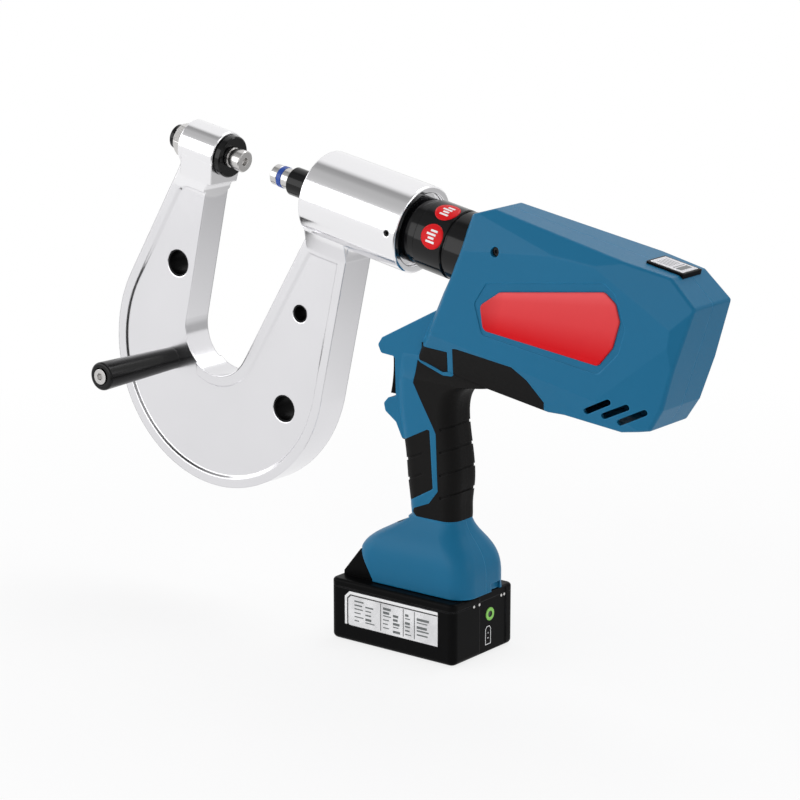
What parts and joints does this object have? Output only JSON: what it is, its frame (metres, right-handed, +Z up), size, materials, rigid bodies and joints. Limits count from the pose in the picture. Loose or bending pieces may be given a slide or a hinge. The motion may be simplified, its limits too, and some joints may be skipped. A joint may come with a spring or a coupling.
{
  "type": "hydraulic riveter",
  "caption": "Battery hydraulic riveter: a swivelling C-frame with punch and adjustable anvil on a pistol-grip pump body that stands on its slide-on battery.",
  "frame": {"origin": "middle of the battery's underside, where the tool stands", "axes": "+Z up, -X towards the nose and C-frame, +X to the tail, -Y the side with the side handle"},
  "size_m": [0.5475, 0.132, 0.3789],
  "materials": {
    "blue_plastic": "fine satin moulding",
    "black_rubber": "matte grip rubber",
    "bright_aluminium": "polished",
    "black_steel": "black oxide, glossy",
    "polished_steel": "turned and polished",
    "blue_ring": "satin",
    "red_plate": "glossy dome",
    "black_plastic": "satin",
    "silver_foil": "brushed foil",
    "green_ring": "glossy",
    "seal_rubber": "oiled",
    "spring_steel": "drawn wire",
    "bronze": "machined",
    "board_green": "lacquered",
    "cell_wrap": "shrink wrapped cans"
  },
  "bodies": {
    "tool": {"swivel_neck": "black_steel", "neck_seal": "seal_rubber", "housing_left": "blue_plastic", "housing_right": "blue_plastic", "grip_rubber_left": "black_rubber", "grip_rubber_right": "black_rubber", "grip_pad_left": "black_rubber", "grip_pad_right": "black_rubber", "side_plate_left": "red_plate", "side_plate_right": "red_plate", "window_frame": "black_plastic", "window_panel": "silver_foil", "housing_screws": "black_steel", "switch_module": "black_plastic", "trigger_spring": "spring_steel", "pump_block": "polished_steel", "pump_plunger": "polished_steel", "relief_valve": "bronze", "oil_reservoir": "seal_rubber", "control_board": "board_green", "gearbox": "polished_steel", "motor_can": "polished_steel", "motor_end_bell": "black_plastic", "terminal_block": "black_plastic"},
    "head": {"c_frame": "bright_aluminium", "frame_bushes": "black_plastic", "barrel_set_screw": "black_steel", "rod_bush": "bronze", "return_spring": "spring_steel", "side_handle_grip": "black_plastic", "side_handle_bolt": "polished_steel"},
    "ram": {"ram": "black_steel", "piston_seal": "seal_rubber", "punch": "polished_steel", "punch_ring": "blue_ring"},
    "anvil_ring": {"anvil_collar": "black_steel"},
    "anvil": {"anvil_shaft": "polished_steel", "anvil_die": "polished_steel", "anvil_end_cap": "black_steel"},
    "lock_nut": {"anvil_lock_nut": "polished_steel"},
    "trigger": {"trigger": "black_plastic"},
    "release_button": {"release_button": "black_rubber"},
    "cam": {"eccentric_shaft": "polished_steel", "cam_bearing": "polished_steel"},
    "rotor": {"rotor": "polished_steel", "motor_fan": "black_plastic"},
    "battery": {"battery_case": "black_plastic", "battery_lid": "black_plastic", "battery_cells": "cell_wrap", "battery_label": "silver_foil", "latch_springs": "spring_steel"},
    "latch": {"battery_latch": "black_plastic"},
    "charge_button": {"charge_button": "green_ring"}
  },
  "joints": [
    {"name": "head_swivel", "type": "hinge", "parent": "tool", "child": "head", "pos_m": [0, 0, 0.317], "axis": [0.9816, 0, -0.1908], "continuous": true},
    {"name": "ram_stroke", "type": "slide", "parent": "head", "child": "ram", "axis": [-0.9816, 0, 0.1908], "range_m": [0, 0.03], "stiffness_N_per_m": 2500, "deforming": ["return_spring"]},
    {"name": "anvil_ring_turn", "type": "hinge", "parent": "head", "child": "anvil_ring", "pos_m": [-0.18651, 0, 0.35325], "axis": [0.9816, 0, -0.1908], "range_deg": [0, 360]},
    {"name": "anvil_feed", "type": "slide", "parent": "anvil_ring", "child": "anvil", "axis": [0.9816, 0, -0.1908], "range_m": [0, 0.0015]},
    {"name": "lock_nut_turn", "type": "hinge", "parent": "head", "child": "lock_nut", "pos_m": [-0.23068, 0, 0.36184], "axis": [0.9816, 0, -0.1908], "range_deg": [0, 360]},
    {"name": "trigger_pull", "type": "slide", "parent": "tool", "child": "trigger", "axis": [1, 0, 0], "range_m": [0, 0.006], "stiffness_N_per_m": 400, "deforming": ["trigger_spring"]},
    {"name": "release_press", "type": "slide", "parent": "tool", "child": "release_button", "axis": [0, 1, 0], "range_m": [0, 0.0015], "stiffness_N_per_m": 800},
    {"name": "rotor_spin", "type": "hinge", "parent": "tool", "child": "rotor", "pos_m": [0.17669, 0, 0.28265], "axis": [0.9816, 0, -0.1908], "continuous": true},
    {"name": "cam_spin", "type": "hinge", "parent": "tool", "child": "cam", "pos_m": [0.11779, 0, 0.2941], "axis": [0.9816, 0, -0.1908], "continuous": true},
    {"name": "battery_slide", "type": "slide", "parent": "tool", "child": "battery", "axis": [-1, 0, 0], "range_m": [0, 0.08]},
    {"name": "latch_press", "type": "slide", "parent": "battery", "child": "latch", "axis": [0, 0, -1], "range_m": [0, 0.003], "stiffness_N_per_m": 800, "deforming": ["latch_springs"]},
    {"name": "charge_button_press", "type": "slide", "parent": "battery", "child": "charge_button", "axis": [-1, 0, 0], "range_m": [0, 0.0008], "stiffness_N_per_m": 500}
  ],
  "couplings": [
    {"joint": "cam_spin", "follows": "rotor_spin", "ratio": 0.2},
    {"joint": "anvil_ring_turn", "follows": "anvil_feed", "rad_per_m": 4188.8}
  ]
}
